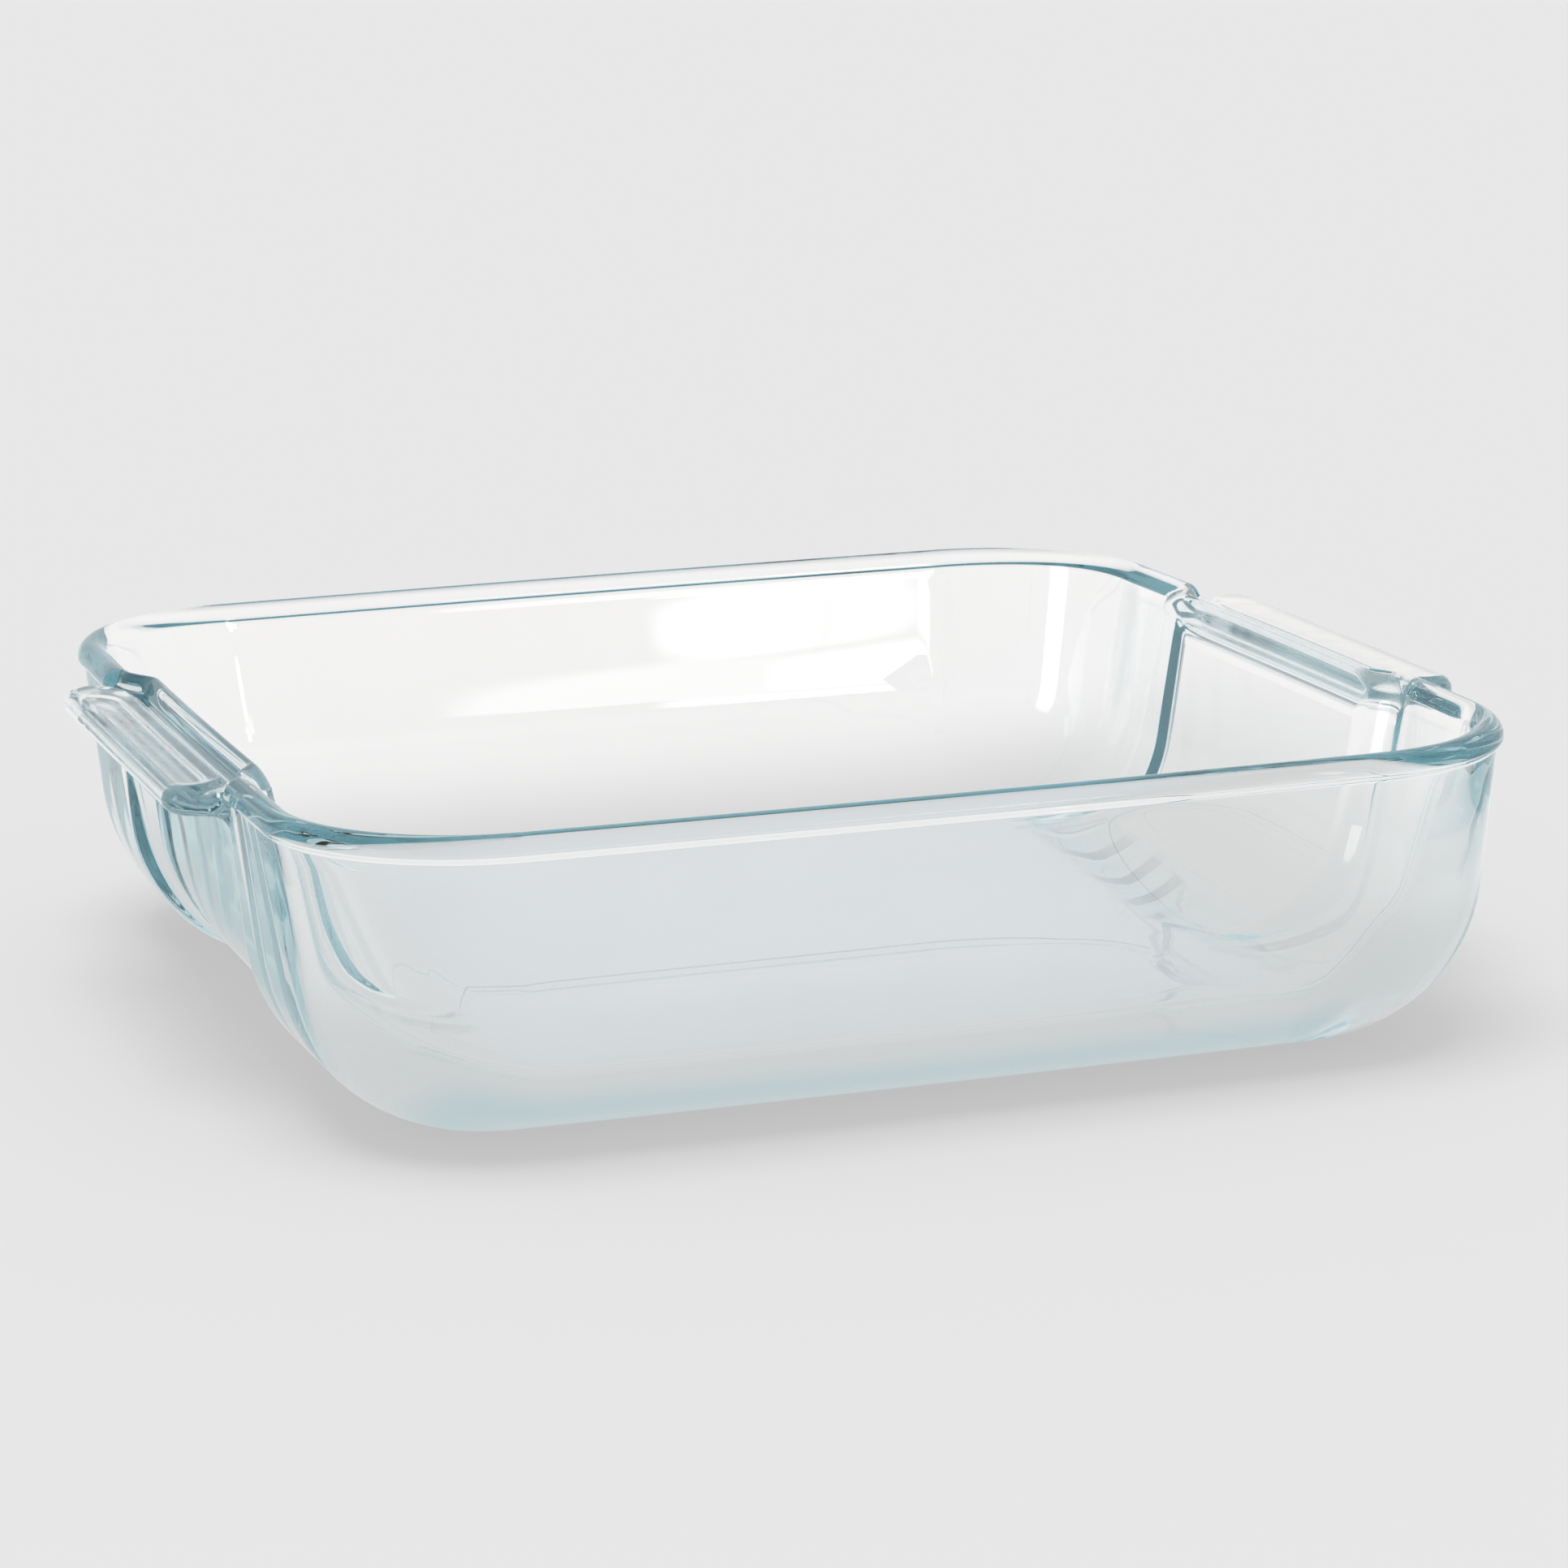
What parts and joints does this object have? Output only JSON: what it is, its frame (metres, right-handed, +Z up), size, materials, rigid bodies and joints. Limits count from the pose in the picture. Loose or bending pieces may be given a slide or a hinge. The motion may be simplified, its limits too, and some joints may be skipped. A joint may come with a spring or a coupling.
{
  "type": "square glass baking dish",
  "caption": "Square clear-glass baking dish with rounded corners, drafted walls, a rolled rim, and flat tab handles that grow out of set-in panels on opposite sides.",
  "frame": {"origin": "on the table under the middle of the base", "axes": "+X through the right handle, +Y towards the back, +Z up out of the mouth"},
  "size_m": [0.239, 0.222, 0.057],
  "materials": {
    "clear_glass": "clear pressed glass, polished, with a faint blue-green tint that shows in thick edges"
  },
  "bodies": {
    "root": {"glass_dish": "clear_glass"}
  },
  "joints": []
}
